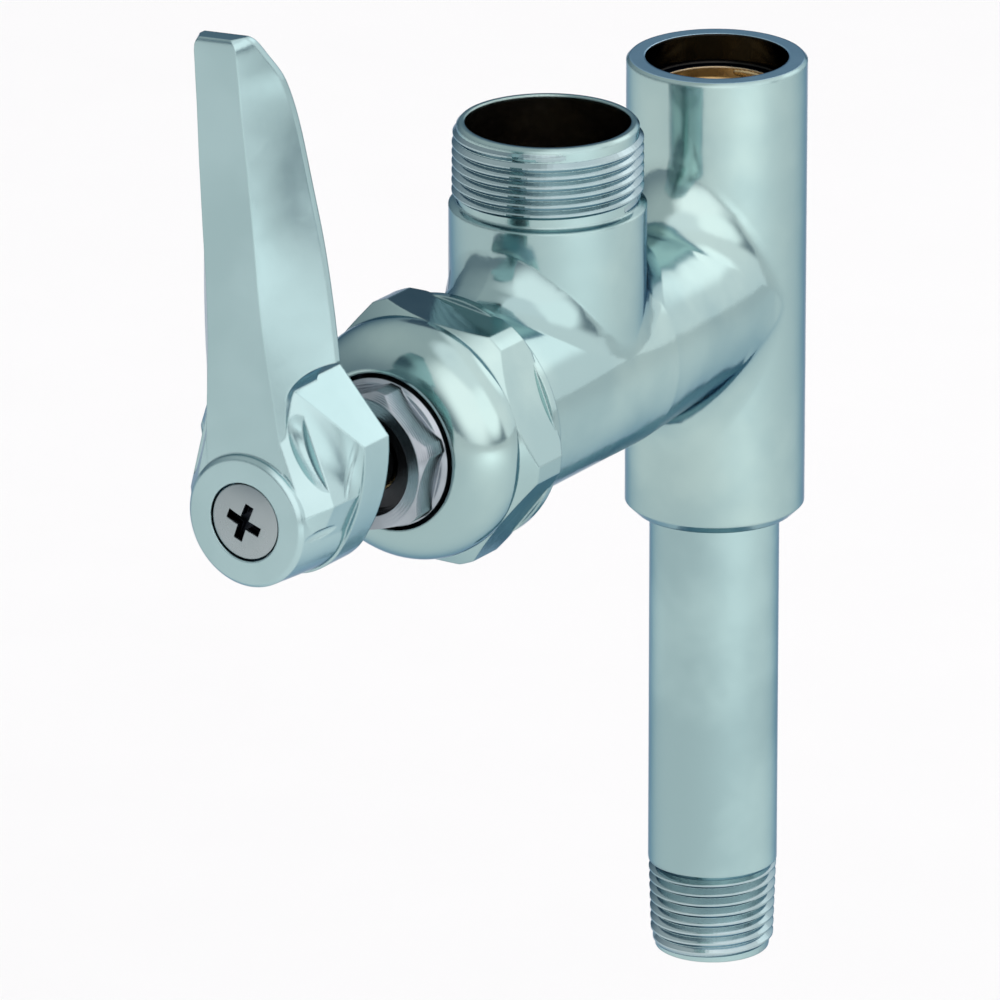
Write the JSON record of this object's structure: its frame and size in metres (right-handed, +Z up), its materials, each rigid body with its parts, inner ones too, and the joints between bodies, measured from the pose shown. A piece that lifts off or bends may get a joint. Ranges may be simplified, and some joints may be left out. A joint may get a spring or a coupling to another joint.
{
  "type": "auxiliary faucet",
  "caption": "Screw-type valve on a riser pipe: a sleeve over a straight nipple, a barrel with a lever handle and an upward outlet with a male thread.",
  "frame": {"origin": "on the riser's axis, at the lower end of the nipple", "axes": "+Z up the riser, -Y towards the handle's screw, +X to the right of a user who faces the handle"},
  "size_m": [0.0354, 0.1207, 0.1553],
  "materials": {
    "chrome_body": "polished chrome plate on brass",
    "chrome_handle": "polished chrome plate on a casting",
    "nipple_plate": "plated tube",
    "dark_nickel": "dull turned metal",
    "bright_screw": "plated screw",
    "brass": "turned brass",
    "seal_rubber": "black rubber",
    "packing": "pale pressed packing"
  },
  "bodies": {
    "valve": {"valve_body": "chrome_body", "riser_nipple": "nipple_plate", "seat_insert": "brass", "cartridge_sleeve": "brass", "flange_gasket": "packing", "sleeve_o_ring": "seal_rubber", "packing_ring_1": "packing", "packing_ring_2": "packing", "gland_washer": "brass", "packing_nut": "dark_nickel", "bonnet_nut": "chrome_body"},
    "seat_disc": {"seat_washer": "seal_rubber", "seat_disc_cup": "brass"},
    "handle": {"valve_stem": "dark_nickel", "stem_o_ring": "seal_rubber", "washer_screw": "brass", "lever_handle": "chrome_handle", "lock_washer": "dark_nickel", "handle_screw": "bright_screw"}
  },
  "joints": [
    {"name": "stem_lift", "type": "slide", "parent": "valve", "child": "seat_disc", "axis": [0, -1, 0], "range_m": [0, 0.002]},
    {"name": "handle_turn", "type": "hinge", "parent": "seat_disc", "child": "handle", "pos_m": [0, 0, 0.0928], "axis": [0, -1, 0], "range_deg": [0, 90]}
  ],
  "couplings": [
    {"joint": "stem_lift", "follows": "handle_turn", "m_per_rad": 0.0012732}
  ]
}
